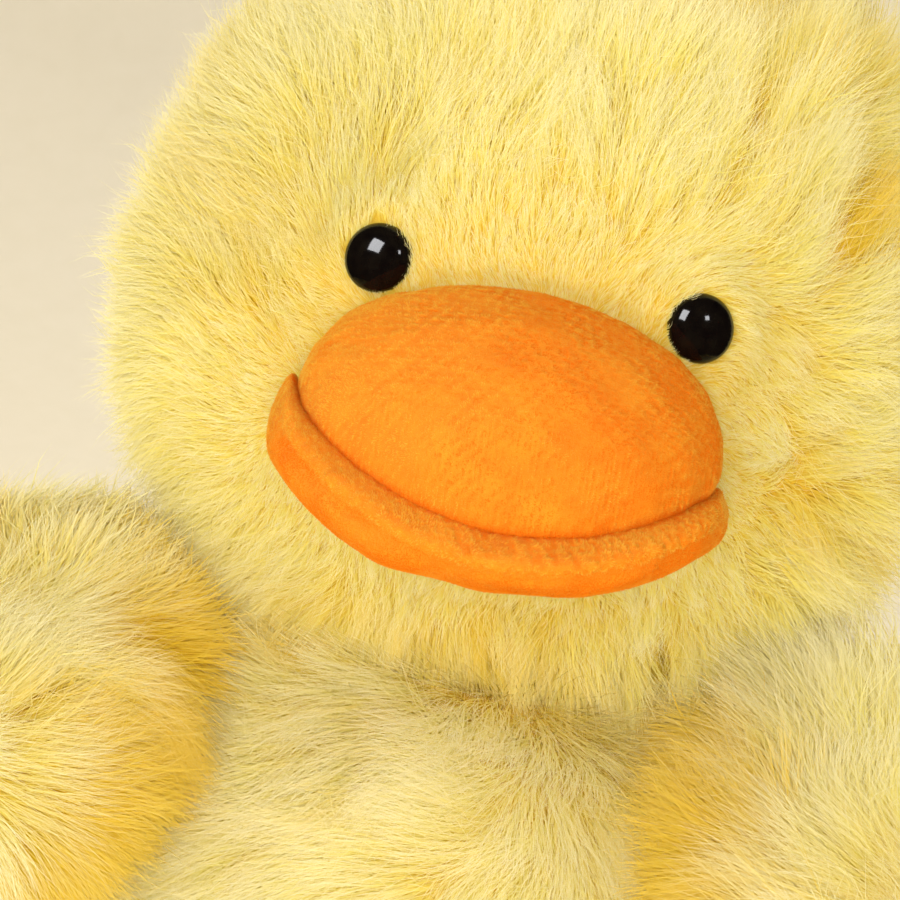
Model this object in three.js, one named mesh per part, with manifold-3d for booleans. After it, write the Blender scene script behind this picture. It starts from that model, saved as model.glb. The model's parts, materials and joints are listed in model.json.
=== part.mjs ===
// A plush duck sitting down: long-pile fabric over soft filling, with a padded bill and webbed feet.
// Millimetres, +Z up. The duck looks along -Y, so its own left side is +X.
// The origin is the middle of the flat seat, on the surface that the duck sits on.
// Each cover is modelled to the middle of its pile, and each cover is open where it is sewn on.
import * as THREE from "three";
import { mergeVertices } from "three/addons/utils/BufferGeometryUtils.js";
import Module from "manifold-3d";

const wasm = await Module();
wasm.setup();

// Cloth and clearances
const furCloth = 3; // backing cloth with the dense root of its pile
const billCloth = 2; // short-pile cloth of the bill and the feet
const gap = 0.3; // between pieces that touch
const seatDip = 0.5; // how much of the body's round underside the flat seat takes off

// Body, a pear with a round neck dome on top
const bodyRadius = 84;
const bodyWidestHeight = 58;
const seatRadius = 56;
const neckPivotHeight = 147; // the head nods about the centre of the neck dome
const shoulderRise = 2; // the shoulders above the neck's pivot
const neckDomeRadius = 36;
const neckHoleRadius = 22;
const neckFillingDepth = 24; // how far the neck filling reaches below the pivot
const neckDomeStart = THREE.MathUtils.degToRad(18); // where the shoulders meet the dome
const neckGap = 0.5; // around the neck's pieces, which slide on each other

// Pellet bag in the seat
const pelletBagRadius = 44;
const pelletBagHeight = 26;

// Head
const headHalfWidth = 73;
const headHalfDepth = 69;
const headAbove = 88; // from the head's widest level to its top
const headBelow = 60;
const headRise = 79; // from the neck's pivot to the head's widest level

// Eyes: domed caps on a shank, held by a washer inside the head
const eyeSpacing = 55.6;
const eyeRise = 15; // above the head's widest level
const eyeRadius = 6;
const eyeRim = 0.8;
const eyeDome = 4.2;
const shankRadius = 2.4;
const shankLength = 13;
const washerRadius = 7.5;
const washerThickness = 1.6;
const washerDepth = 5; // the washer's front below the head's surface

// Bill: a dome that rests on a wider pad, both with corners that curl up like a smile.
// Heights are taken from the seam around the edge of each half.
const billBase = 62; // the base's distance in front of the neck's axis
const jawBack = 14; // the lower bill bends about its back edge, this far behind the base
const upperBill = {
  halfWidth: 37.2,
  above: 38,
  below: 4,
  reach: 41, // from the bill's base to its tip
  drop: 21.5, // the seam below the head's widest level
  curl: 12,
  cornerShare: 1.1, // above 1 the outline is more pointed than an ellipse, below 1 it is squarer
};
const lowerBill = {
  halfWidth: 42.4,
  above: 7,
  below: 7.6,
  reach: 46.5,
  drop: 28,
  curl: 16,
  cornerShare: 0.55,
};

// Wings, reaching forward from the shoulders
const wingHalfWidth = 34.5;
const wingHalfThickness = 29;
const wingHalfLength = 60;
const wingSpacing = 154; // between the middles of the wings
const wingStandout = 18; // the middle of a wing outside the shoulder
const wingForward = 38;
const wingDrop = 1; // the middle of a wing below the neck's pivot
const wingPitch = THREE.MathUtils.degToRad(20); // the tip hangs below the shoulder
const wingYaw = THREE.MathUtils.degToRad(8); // the tip stands out from the body

// Feet, splayed on the floor in front of the body
const footHalfWidth = 34;
const footHalfLength = 44;
const footRise = 24; // the top of the foot above the floor
const footSeamHeight = 9; // the seam around the edge of the foot
const footOut = 100; // the middle of the foot from the middle of the seat
const footSplay = THREE.MathUtils.degToRad(26);
const toeSpread = THREE.MathUtils.degToRad(40); // between one toe and the next
const webShare = 0.16; // how far the webs draw in between the toes

// Tail, a stub that turns up at the back
const tailHalfWidth = 24;
const tailHalfThickness = 15;
const tailHalfLength = 34;
const tailBack = 84;
const tailHeight = 58;
const tailPitch = THREE.MathUtils.degToRad(38);

// Shares of the size that each one follows
const lowBodyRadiusShare = 0.9;
const lowBodyHeightShare = 0.28;
const chestRadiusShare = 0.9;
const chestHeightShare = 0.55;
const collarInShare = 0.5;
const collarUpShare = 0.8;
const wingTaperShare = 0.14;
const billFullShare = 0.82;
const heelShare = 0.5;

// Facets around and along each kind of form
const large = { around: 28, along: 14 };
const largeInner = { around: 20, along: 10 };
const middle = { around: 24, along: 10 };
const small = { around: 16, along: 8 };
const webbed = { around: 36, along: 6 };
const roundSides = 18;
const domeSteps = 4;
const neckSteps = 6;

const fur = { color: 0xf3df80, roughness: 0.95, metalness: 0 };
const orange = { color: 0xf7982f, roughness: 0.85, metalness: 0 };
const filling = { color: 0xf3f0e8, roughness: 1, metalness: 0 };
const bag = { color: 0xddd3bd, roughness: 0.9, metalness: 0 };
const gloss = { color: 0x0c0a08, roughness: 0.1, metalness: 0 };
const plastic = { color: 0xd6d6d2, roughness: 0.5, metalness: 0 };

// What follows from the sizes above
const headHeight = neckPivotHeight + headRise;
const wingHeight = neckPivotHeight - wingDrop;
const shoulderHeight = neckPivotHeight + shoulderRise;
const shoulderRadius = wingSpacing / 2 - wingStandout;

// Turns a closed geometry into a solid that can be joined and cut.
function solid(geometry) {
  geometry.deleteAttribute("normal");
  geometry.deleteAttribute("uv");
  const merged = mergeVertices(geometry);
  return new wasm.Manifold(
    new wasm.Mesh({
      numProp: 3,
      vertProperties: merged.attributes.position.array,
      triVerts: merged.index.array,
    }),
  );
}

// A unit ball, poles along Z, whose points are moved by a rule and then placed.
function softForm(facets, rule, place) {
  const ball = new THREE.SphereGeometry(1, facets.around, facets.along);
  ball.rotateX(Math.PI / 2);
  const points = ball.attributes.position;
  const point = new THREE.Vector3();
  for (let i = 0; i < points.count; i++) {
    rule(point.fromBufferAttribute(points, i));
    points.setXYZ(i, point.x, point.y, point.z);
  }
  place(ball);
  return solid(ball);
}

// A turned solid, from [radius, height] pairs that start and end on the axis.
function turned(profile, sides = roundSides) {
  const points = profile.map(([radius, height]) => new THREE.Vector2(radius, height));
  return new THREE.LatheGeometry(points, sides).rotateX(Math.PI / 2);
}

// Fills the ends of a long form out, so that it is less pointed than an ellipsoid.
function fillEnds(point, fullShare) {
  const radius = Math.hypot(point.x, point.y);
  if (radius > 0) {
    point.x *= radius ** (fullShare - 1);
    point.y *= radius ** (fullShare - 1);
  }
  point.z = Math.sign(point.z) * Math.abs(point.z) ** fullShare;
}

// Squares an outline's corners up, or draws them in.
function shapeCorners(point, share) {
  const radius = Math.hypot(point.x, point.y);
  if (radius > 0) {
    const x = point.x / radius;
    const y = point.y / radius;
    point.x = radius * Math.sign(x) * Math.abs(x) ** share;
    point.y = radius * Math.sign(y) * Math.abs(y) ** share;
  }
}

// The forms below take an offset: minus for what lies inside them, plus for what is cut by them.
function bodyForm(offset, facets = large) {
  const { lerp } = THREE.MathUtils;
  const [neckRadius, neckHeight] = neckDome(0)[0];
  const curve = new THREE.SplineCurve(
    [
      [seatRadius, 0],
      [bodyRadius * lowBodyRadiusShare, bodyWidestHeight * lowBodyHeightShare],
      [bodyRadius, bodyWidestHeight],
      [
        bodyRadius * chestRadiusShare,
        lerp(bodyWidestHeight, shoulderHeight, chestHeightShare),
      ],
      [shoulderRadius, shoulderHeight],
      [
        lerp(shoulderRadius, neckRadius, collarInShare),
        lerp(shoulderHeight, neckHeight, collarUpShare),
      ],
      [neckRadius, neckHeight],
    ].map(([radius, height]) => new THREE.Vector2(radius, height)),
  );
  const side = curve.getPoints(facets.along).map((p, i) => {
    const ahead = curve.getTangent(i / facets.along);
    return [p.x + offset * ahead.y, p.y - offset * ahead.x];
  });
  const bottom = offset < 0 ? -offset : -offset - seatDip;
  side[0] = [seatRadius + offset, -offset];
  side.pop();
  const profile = [[0, bottom], ...side, ...neckDome(offset)];
  return solid(turned(profile, facets.around)).subtract(floor(offset));
}

// What lies under the seat, which takes the round underside off.
function floor(offset) {
  const depth = bodyRadius;
  return solid(
    new THREE.BoxGeometry(bodyRadius * 2, bodyRadius * 2, depth).translate(
      0,
      0,
      -Math.max(offset, 0) - depth / 2,
    ),
  );
}

function neckDome(offset) {
  const radius = neckDomeRadius + offset;
  const points = [];
  for (let i = 0; i < neckSteps; i++) {
    const angle = THREE.MathUtils.lerp(neckDomeStart, Math.PI / 2, i / neckSteps);
    points.push([radius * Math.cos(angle), neckPivotHeight + radius * Math.sin(angle)]);
  }
  return [...points, [0, neckPivotHeight + radius]];
}

// What the dome takes out of the head that slides on it.
function neckBall(offset) {
  const bottom = neckPivotHeight - neckFillingDepth - gap;
  const dome = neckDome(offset);
  return solid(turned([[0, bottom], [dome[0][0], bottom], ...dome], large.around));
}

function neckPlug(offset) {
  const radius = neckHoleRadius + offset;
  const bottom = neckPivotHeight - neckFillingDepth - offset;
  const top = neckPivotHeight + neckDomeRadius + offset;
  const profile = [
    [0, bottom],
    [radius, bottom],
    [radius, top],
    [0, top],
  ];
  return solid(turned(profile, large.around));
}

function pelletForm(offset) {
  return softForm(
    small,
    (p) =>
      p.set(
        p.x * (pelletBagRadius + offset),
        p.y * (pelletBagRadius + offset),
        Math.max(p.z, 0) * (pelletBagHeight + offset),
      ),
    (ball) => ball.translate(0, 0, furCloth + gap),
  );
}

function headForm(offset, facets = large) {
  return softForm(
    facets,
    (p) =>
      p.multiply(
        new THREE.Vector3(
          headHalfWidth + offset,
          headHalfDepth + offset,
          (p.z > 0 ? headAbove : headBelow) + offset,
        ),
      ),
    (ball) => ball.translate(0, 0, headHeight),
  );
}

// A half of the bill, whose back lies inside the head.
function billForm(size, offset, facets = middle) {
  return softForm(
    facets,
    (p) => {
      fillEnds(p, billFullShare);
      shapeCorners(p, size.cornerShare);
      const rise = p.y > 0 ? size.above : size.below;
      const across = p.x * (size.halfWidth + offset);
      const curl = size.curl * (across / size.halfWidth) ** 2;
      p.set(across, p.y * (rise + offset) + curl, p.z * (size.reach + offset));
    },
    (ball) =>
      ball.rotateX(Math.PI / 2).translate(0, -billBase, headHeight - size.drop),
  );
}

function wingForm(side, offset, facets = middle) {
  return softForm(
    facets,
    (p) => {
      const taper = 1 - wingTaperShare * p.z;
      p.set(
        p.x * taper * (wingHalfWidth + offset),
        p.y * taper * (wingHalfThickness + offset),
        p.z * (wingHalfLength + offset),
      );
    },
    (ball) =>
      ball
        .rotateX(Math.PI / 2 + wingPitch)
        .rotateZ(side * wingYaw)
        .translate((side * wingSpacing) / 2, -wingForward, wingHeight),
  );
}

// A webbed foot: narrow at the heel, wide at the toes, puffed on top and flat below.
function footForm(side, offset, facets = webbed) {
  const sole = -Math.min(offset, 0);
  return softForm(
    facets,
    (p) => {
      const forward = -p.y;
      const toward = Math.max(forward, 0) ** 2;
      const width = THREE.MathUtils.lerp(heelShare, 1, (forward + 1) / 2);
      const angle = Math.atan2(p.x, forward);
      const between = 1 - Math.abs(Math.cos((angle * Math.PI) / toeSpread));
      const web = 1 - webShare * toward * between;
      const rise = p.z > 0 ? footRise - footSeamHeight : footSeamHeight + seatDip;
      p.set(
        p.x * width * web * (footHalfWidth + offset),
        p.y * web * (footHalfLength + offset),
        Math.max(footSeamHeight + p.z * (rise + offset), sole),
      );
    },
    (ball) => ball.translate(0, -footOut, 0).rotateZ(side * footSplay),
  );
}

function tailForm(offset, facets = small) {
  return softForm(
    facets,
    (p) =>
      p.set(
        p.x * (tailHalfWidth + offset),
        p.y * (tailHalfThickness + offset),
        p.z * (tailHalfLength + offset),
      ),
    (ball) =>
      ball
        .rotateX(tailPitch - Math.PI / 2)
        .translate(0, tailBack, tailHeight),
  );
}

// Where an eye sits: on the head's surface, its axis square to it.
function eyePlace(side) {
  const x = (side * eyeSpacing) / 2;
  const y =
    -headHalfDepth *
    Math.sqrt(1 - (x / headHalfWidth) ** 2 - (eyeRise / headAbove) ** 2);
  const axis = new THREE.Vector3(
    x / headHalfWidth ** 2,
    y / headHalfDepth ** 2,
    eyeRise / headAbove ** 2,
  ).normalize();
  const turn = new THREE.Quaternion().setFromUnitVectors(
    new THREE.Vector3(0, 0, 1),
    axis,
  );
  return new THREE.Matrix4().compose(
    new THREE.Vector3(x, y, headHeight + eyeRise),
    turn,
    new THREE.Vector3(1, 1, 1),
  );
}

function eyeForm(side) {
  const dome = [];
  for (let i = 0; i <= domeSteps; i++) {
    const angle = (Math.PI / 2) * (i / domeSteps);
    const radius = i < domeSteps ? eyeRadius * Math.cos(angle) : 0;
    dome.push([radius, gap + eyeRim + eyeDome * Math.sin(angle)]);
  }
  const cap = turned([
    [0, -shankLength],
    [shankRadius, -shankLength],
    [shankRadius, gap],
    [eyeRadius, gap],
    ...dome,
  ]);
  return solid(cap.applyMatrix4(eyePlace(side)));
}

function washerForm(side) {
  const bore = shankRadius + gap;
  const ring = turned([
    [bore, -washerDepth - washerThickness],
    [washerRadius, -washerDepth - washerThickness],
    [washerRadius, -washerDepth],
    [bore, -washerDepth],
    [bore, -washerDepth - washerThickness],
  ]);
  return solid(ring.applyMatrix4(eyePlace(side)));
}

// The room that an eye's shank needs, and the wider room for its washer.
function eyeRoom(side, radius, top) {
  const reach = shankLength + gap;
  const room = turned([
    [0, -reach],
    [radius + gap, -reach],
    [radius + gap, top],
    [0, top],
  ]);
  return solid(room.applyMatrix4(eyePlace(side)));
}

// Groups sit at the pivots of the pieces that move together.
function pivotGroup(parent, x, y, z) {
  const group = new THREE.Group();
  group.position.set(x, y, z);
  parent.worldToLocal(group.position);
  parent.add(group);
  group.updateMatrixWorld(true);
  return group;
}

function addPiece(group, name, shape, look) {
  const mesh = shape.getMesh();
  const geometry = new THREE.BufferGeometry();
  geometry.setAttribute("position", new THREE.BufferAttribute(mesh.vertProperties, 3));
  geometry.setIndex(new THREE.BufferAttribute(mesh.triVerts, 1));
  geometry.applyMatrix4(group.matrixWorld.clone().invert());
  geometry.computeVertexNormals();
  const piece = new THREE.Mesh(geometry, new THREE.MeshStandardMaterial(look));
  piece.name = name;
  group.add(piece);
}

// Adds a cover and the filling inside it. The cutters open the cover where it is sewn on.
function addPadded(group, name, form, cloth, look, facets, cutters) {
  let cover = form(0).subtract(form(-cloth, facets));
  let pad = form(-cloth - gap, facets);
  for (const cutter of cutters) {
    cover = cover.subtract(cutter);
    pad = pad.subtract(cutter);
  }
  addPiece(group, `${name}_cover`, cover, look);
  addPiece(group, `${name}_filling`, pad, filling);
}

const duck = new THREE.Group();

function addBody() {
  const cover = bodyForm(0)
    .subtract(bodyForm(-furCloth, largeInner))
    .subtract(neckPlug(0));
  const pad = bodyForm(-furCloth - gap, largeInner)
    .subtract(neckPlug(0))
    .subtract(pelletForm(gap));
  addPiece(duck, "body_cover", cover, fur);
  addPiece(duck, "body_filling", pad, filling);
  addPiece(duck, "pellet_bag", pelletForm(0), bag);
  addPadded(duck, "tail", tailForm, furCloth, fur, small, [bodyForm(gap)]);
}

function addHead() {
  const neck = pivotGroup(duck, 0, 0, neckPivotHeight);
  const plug = neckPlug(-neckGap).intersect(neckBall(0));
  addPiece(neck, "neck_filling", plug, filling);

  const head = pivotGroup(neck, 0, 0, neckPivotHeight);
  let cover = headForm(0)
    .subtract(headForm(-furCloth, largeInner))
    .subtract(neckBall(neckGap));
  let pad = headForm(-furCloth - gap, largeInner).subtract(neckBall(neckGap));
  for (const side of [1, -1]) {
    cover = cover.subtract(eyeRoom(side, shankRadius, gap));
    pad = pad.subtract(eyeRoom(side, washerRadius, gap));
    const hand = side > 0 ? "left" : "right";
    addPiece(head, `eye_${hand}`, eyeForm(side), gloss);
    addPiece(head, `eye_washer_${hand}`, washerForm(side), plastic);
  }
  addPiece(head, "head_cover", cover, fur);
  addPiece(head, "head_filling", pad, filling);
  const cutters = [headForm(gap)];
  const upperPad = (offset, facets) => billForm(upperBill, offset, facets);
  addPadded(head, "upper_bill", upperPad, billCloth, orange, small, cutters);

  const jawHeight = headHeight - lowerBill.drop - lowerBill.below;
  const jaw = pivotGroup(head, 0, jawBack - billBase, jawHeight);
  const lowerPad = (offset, facets) =>
    billForm(lowerBill, offset, facets).subtract(upperPad(gap - offset));
  addPadded(jaw, "lower_bill", lowerPad, billCloth, orange, middle, cutters);
}

function addLimbs(side, hand) {
  const cutters = [bodyForm(gap)];
  const shoulderBack = (wingHalfLength - wingForward) / 2;
  const shoulder = pivotGroup(duck, side * shoulderRadius, shoulderBack, wingHeight);
  const wing = (offset, facets) => wingForm(side, offset, facets);
  addPadded(shoulder, `wing_${hand}`, wing, furCloth, fur, small, cutters);

  const ankleOut = footOut - footHalfLength / 2;
  const ankle = pivotGroup(
    duck,
    side * ankleOut * Math.sin(footSplay),
    -ankleOut * Math.cos(footSplay),
    footRise,
  );
  const foot = (offset, facets) => footForm(side, offset, facets);
  addPadded(ankle, `foot_${hand}`, foot, billCloth, orange, webbed, cutters);
}

addBody();
addHead();
addLimbs(1, "left");
addLimbs(-1, "right");

export default duck;
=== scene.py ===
"""A plush duck sitting down: furred skins, a padded bill and padded feet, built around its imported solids.

Metres, +Z up. The duck looks along -Y, so its own left side is +X.
"""

import json
import math
from dataclasses import dataclass

import bmesh
import bpy
import numpy as np
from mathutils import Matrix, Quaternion, Vector
from mathutils.bvhtree import BVHTree
from mathutils.kdtree import KDTree


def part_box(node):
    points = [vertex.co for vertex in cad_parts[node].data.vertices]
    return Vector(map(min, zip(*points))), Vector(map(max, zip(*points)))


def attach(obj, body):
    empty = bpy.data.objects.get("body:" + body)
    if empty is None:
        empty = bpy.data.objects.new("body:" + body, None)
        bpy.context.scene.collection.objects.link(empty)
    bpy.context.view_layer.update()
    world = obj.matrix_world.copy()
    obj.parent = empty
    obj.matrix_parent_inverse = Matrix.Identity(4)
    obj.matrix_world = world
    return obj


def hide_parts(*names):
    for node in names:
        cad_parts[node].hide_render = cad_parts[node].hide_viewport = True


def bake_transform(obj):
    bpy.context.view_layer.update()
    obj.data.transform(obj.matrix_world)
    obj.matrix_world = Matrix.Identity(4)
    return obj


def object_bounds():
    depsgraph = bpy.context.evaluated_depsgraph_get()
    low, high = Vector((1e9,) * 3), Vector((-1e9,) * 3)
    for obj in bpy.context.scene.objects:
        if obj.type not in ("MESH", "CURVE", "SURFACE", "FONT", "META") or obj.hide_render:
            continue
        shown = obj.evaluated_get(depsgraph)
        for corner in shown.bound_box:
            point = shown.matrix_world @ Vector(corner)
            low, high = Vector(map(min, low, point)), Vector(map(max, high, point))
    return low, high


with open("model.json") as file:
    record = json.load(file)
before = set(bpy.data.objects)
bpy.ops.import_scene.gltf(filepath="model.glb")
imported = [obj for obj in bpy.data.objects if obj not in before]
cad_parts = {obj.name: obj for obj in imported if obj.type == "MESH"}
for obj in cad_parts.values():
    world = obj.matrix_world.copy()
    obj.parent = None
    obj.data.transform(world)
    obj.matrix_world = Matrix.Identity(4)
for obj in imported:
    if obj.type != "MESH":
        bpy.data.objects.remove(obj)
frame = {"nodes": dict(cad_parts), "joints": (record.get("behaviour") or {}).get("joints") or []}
cad_box = [list(corner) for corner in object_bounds()]

MM = 0.001
UP = np.array([0.0, 0.0, 1.0])

# The photograph's view
EYE_TO_LENS = 0.6
VIEW_FALL = math.radians(5)  # the lens looks down by this much
VIEW_LEAN = math.radians(12.4)  # the duck leans to the right in the picture
VIEW_ANGLE = math.radians(14.6)
AIM_ASIDE = -9.2 * MM  # the picture's middle, from the middle between the eyes
AIM_BELOW = 29.9 * MM

# The seam round the lip: its height in the middle, and how far it rises to the corners
LIP_SEAM = 198 * MM
LIP_CURL = 17 * MM
LIP_HELD = 217 * MM  # the corners' height, up to which the lip's corners are drawn onto the upper bill

# Skins and pile
SKIN_DEPTH = 3 * MM  # the backing cloth under the middle of the pile
FACE_SKIN_DEPTH = 0.8 * MM
EYE_RISE = 3.1 * MM  # how far the face swells round each eye
STAND_PROUD = np.array([7.5, 7.5, 15]) * MM  # how far the pile may pass the solids' box
FLOOR_GAP = 0.2 * MM
HEAD_FOOT = 176 * MM  # from here down the head's pile stands up most
TOE_CENTRE = 22 * MM  # the middle of the foot, ahead of its hinge
TOE_GAP = math.radians(20)  # where the web lies between two toes
MOST_TRIANGLES = 190_000  # in one piece of pile
CLOTH_FRAMES = 20  # how long each padded piece is blown up
BILL_NAP = 20e6  # fibres on a square metre
FOOT_NAP = 7e6

rng = np.random.default_rng(12)


def unit(vectors):
    return vectors / np.maximum(np.linalg.norm(vectors, axis=-1, keepdims=True), 1e-12)


def along_surface(vectors, normals):
    """The part of each vector that lies along the surface, at unit length."""
    return unit(vectors - (vectors * normals).sum(-1, keepdims=True) * normals)


def ramp(values, start, end):
    """0 before start, 1 past end, and a smooth rise between them. The end may be the lower one."""
    share = np.clip((values - start) / (end - start), 0, 1)
    return share * share * (3 - 2 * share)


def wander(points, wavelength, seed, waves=5):
    """A smooth random field from about -1 to 1."""
    draw = np.random.default_rng(seed)
    total = np.zeros(len(points))
    for _ in range(waves):
        way = unit(draw.normal(size=3)) * 2 * math.pi / (wavelength * draw.uniform(0.7, 1.4))
        total += np.sin(points @ way + draw.uniform(0, 2 * math.pi))
    return total / math.sqrt(waves)


def slope(height, points, steepest=0.4):
    """How steeply a height rises along each axis, up to a steepest slope."""
    step = 0.02 * MM
    level = height(points)
    rise = np.stack([height(points + step * way) - level for way in np.eye(3)], axis=1) / step
    return rise / np.maximum(1, np.linalg.norm(rise, axis=1, keepdims=True) / steepest)


def arrays_of(obj):
    """A mesh's points and triangles."""
    mesh = obj.data
    mesh.calc_loop_triangles()
    points = np.empty(len(mesh.vertices) * 3)
    mesh.vertices.foreach_get("co", points)
    triangles = np.empty(len(mesh.loop_triangles) * 3, np.int32)
    mesh.loop_triangles.foreach_get("vertices", triangles)
    return points.reshape(-1, 3), triangles.reshape(-1, 3)


def tree_of(*objects):
    """One search tree over the surfaces of several objects."""
    points, triangles, count = [], [], 0
    for obj in objects:
        p, t = arrays_of(obj)
        points.append(p)
        triangles.append(t + count)
        count += len(p)
    return BVHTree.FromPolygons(np.concatenate(points).tolist(), np.concatenate(triangles).tolist())


def mesh_object(name, points, triangles, material, shading=None):
    """A smooth-shaded mesh object from arrays. shading gives a normal for each point."""
    mesh = bpy.data.meshes.new(name)
    mesh.vertices.add(len(points))
    mesh.vertices.foreach_set("co", np.asarray(points, np.float32).ravel())
    mesh.loops.add(triangles.size)
    mesh.loops.foreach_set("vertex_index", triangles.astype(np.int32).ravel())
    mesh.polygons.add(len(triangles))
    mesh.polygons.foreach_set("loop_start", np.arange(0, triangles.size, 3, dtype=np.int32))
    mesh.update(calc_edges=True)
    mesh.shade_smooth()
    if shading is not None:
        custom = mesh.attributes.new("custom_normal", "FLOAT_VECTOR", "POINT")
        custom.data.foreach_set("vector", shading.astype(np.float32).ravel())
    mesh.materials.append(material)
    obj = bpy.data.objects.new(name, mesh)
    bpy.context.scene.collection.objects.link(obj)
    return obj


def edges_of(triangles):
    pairs = np.concatenate([triangles[:, [i, (i + 1) % 3]] for i in range(3)])
    return np.unique(np.sort(pairs, axis=1), axis=0)


def relax(points, edges, rounds, share=0.5):
    """Draws each point towards the middle of its neighbours."""
    count = np.bincount(edges.ravel(), minlength=len(points))[:, None]
    for _ in range(rounds):
        total = np.zeros_like(points)
        np.add.at(total, edges[:, 0], points[edges[:, 1]])
        np.add.at(total, edges[:, 1], points[edges[:, 0]])
        points = points + share * (total / count - points)
    return points


def vertex_normals(points, triangles):
    a, b, c = (points[triangles[:, i]] for i in range(3))
    face = np.cross(b - a, c - a)
    total = np.zeros_like(points)
    for i in range(3):
        np.add.at(total, triangles[:, i], face)
    return unit(total)


def distance_to(tree, points, limit):
    """Each point's distance to a surface, at most limit."""
    found = (tree.find_nearest(p, limit)[3] for p in points.tolist())
    return np.array([limit if d is None else d for d in found])


def nearest_on(tree, points):
    """The nearest place on a surface to each point."""
    return np.array([tree.find_nearest(p)[0] for p in points.tolist()])


def fitted(tree, points, normals, reach):
    """Each point moved along its normal to the outside of a surface, where that is within reach."""
    out = points.copy()
    for i, (start, way) in enumerate(zip(points + normals * reach, normals)):
        hit = tree.ray_cast(start, -way, 2 * reach)[0]
        if hit is not None:
            out[i] = hit
    return out


def outer_form(*nodes, detail=6, rounds=4):
    """The closed outer form of a stuffed piece, found by rays that come in towards its middle."""
    tree = tree_of(*(frame["nodes"][n] for n in nodes))
    corners = [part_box(n) for n in nodes]
    low = np.min([c[0] for c in corners], axis=0)
    high = np.max([c[1] for c in corners], axis=0)
    middle, half = (low + high) / 2, (high - low) / 2
    ball = bmesh.new()
    bmesh.ops.create_icosphere(ball, subdivisions=detail, radius=1)
    ways = np.array([v.co[:] for v in ball.verts]) * half
    triangles = np.array([[v.index for v in f.verts] for f in ball.faces])
    ball.free()
    points = np.empty_like(ways)
    for i, way in enumerate(ways):
        start = middle + 1.8 * way
        hit = tree.ray_cast(start, -way)[0]
        points[i] = middle if hit is None else hit
    return relax(points, edges_of(triangles), rounds), triangles


# Materials


def new_material(name):
    material = bpy.data.materials.new(name)
    material.use_nodes = True
    nodes = material.node_tree.nodes
    return material, nodes, material.node_tree.links, nodes["Principled BSDF"]


def add_ramp(nodes, stops):
    """A colour ramp from (place, colour) pairs."""
    node = nodes.new("ShaderNodeValToRGB")
    while len(node.color_ramp.elements) < len(stops):
        node.color_ramp.elements.new(0.5)
    for element, (place, colour) in zip(node.color_ramp.elements, stops):
        element.position = place
        element.color = (*colour, 1)
    return node


def pile_material(name, root, middle, tip, gold_share, roughness):
    """Pile coloured by two numbers of its own map: u is a strand's tint, v runs from root to tip. The deeper
    colour towards the root is painted shade deep in the pile.
    """
    material, nodes, links, shader = new_material(name)
    place = nodes.new("ShaderNodeUVMap")
    place.uv_map = "OFBake"
    split = nodes.new("ShaderNodeSeparateXYZ")
    links.new(place.outputs["UV"], split.inputs[0])
    # root to tip: deeper at the root, which paints the shade deep in the pile
    length = add_ramp(nodes, [(0.0, root), (0.45, middle), (1.0, tip)])
    links.new(split.outputs["Y"], length.inputs["Fac"])
    # low tints multiply in gold_share: a deeper colour for random tone and for painted shade
    tint = add_ramp(nodes, [(0.0, gold_share), (0.6, (0.98, 0.97, 0.93)), (1.0, (1, 1, 1))])
    links.new(split.outputs["X"], tint.inputs["Fac"])
    mix = nodes.new("ShaderNodeMix")
    mix.data_type = "RGBA"
    mix.blend_type = "MULTIPLY"
    mix.inputs["Factor"].default_value = 1
    links.new(length.outputs["Color"], mix.inputs["A"])
    links.new(tint.outputs["Color"], mix.inputs["B"])
    links.new(mix.outputs["Result"], shader.inputs["Base Color"])
    shader.inputs["Roughness"].default_value = roughness
    shader.inputs["Specular IOR Level"].default_value = 0
    return material


def cloth_material(name, dark, light, scale):
    """Short-pile cloth: mottled colour and a fine nap."""
    material, nodes, links, shader = new_material(name)
    place = nodes.new("ShaderNodeTexCoord")
    mottle = nodes.new("ShaderNodeTexNoise")
    mottle.inputs["Scale"].default_value = scale
    mottle.inputs["Detail"].default_value = 6
    links.new(place.outputs["Object"], mottle.inputs["Vector"])
    colour = add_ramp(nodes, [(0.3, dark), (0.7, light)])
    links.new(mottle.outputs["Fac"], colour.inputs["Fac"])
    links.new(colour.outputs["Color"], shader.inputs["Base Color"])
    nap = nodes.new("ShaderNodeTexNoise")
    nap.inputs["Scale"].default_value = 1800
    nap.inputs["Detail"].default_value = 3
    links.new(place.outputs["Object"], nap.inputs["Vector"])
    bump = nodes.new("ShaderNodeBump")
    bump.inputs["Strength"].default_value = 0.5
    bump.inputs["Distance"].default_value = 0.4 * MM
    links.new(nap.outputs["Fac"], bump.inputs["Height"])
    links.new(bump.outputs["Normal"], shader.inputs["Normal"])
    shader.inputs["Roughness"].default_value = 0.9
    shader.inputs["Specular IOR Level"].default_value = 0.1
    return material


def eye_material():
    """Polished black plastic with faint fine scratches."""
    material, nodes, links, shader = new_material("black_eye")
    place = nodes.new("ShaderNodeTexCoord")
    wear = nodes.new("ShaderNodeTexNoise")
    wear.inputs["Scale"].default_value = 400
    wear.inputs["Detail"].default_value = 4
    links.new(place.outputs["Object"], wear.inputs["Vector"])
    colour = add_ramp(nodes, [(0.3, (0.003, 0.002, 0.002)), (0.8, (0.008, 0.006, 0.004))])
    links.new(wear.outputs["Fac"], colour.inputs["Fac"])
    links.new(colour.outputs["Color"], shader.inputs["Base Color"])
    polish = nodes.new("ShaderNodeMapRange")
    polish.inputs["To Min"].default_value = 0.05
    polish.inputs["To Max"].default_value = 0.12
    links.new(wear.outputs["Fac"], polish.inputs["Value"])
    links.new(polish.outputs["Result"], shader.inputs["Roughness"])
    shader.inputs["Specular IOR Level"].default_value = 0.14
    return material


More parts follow.
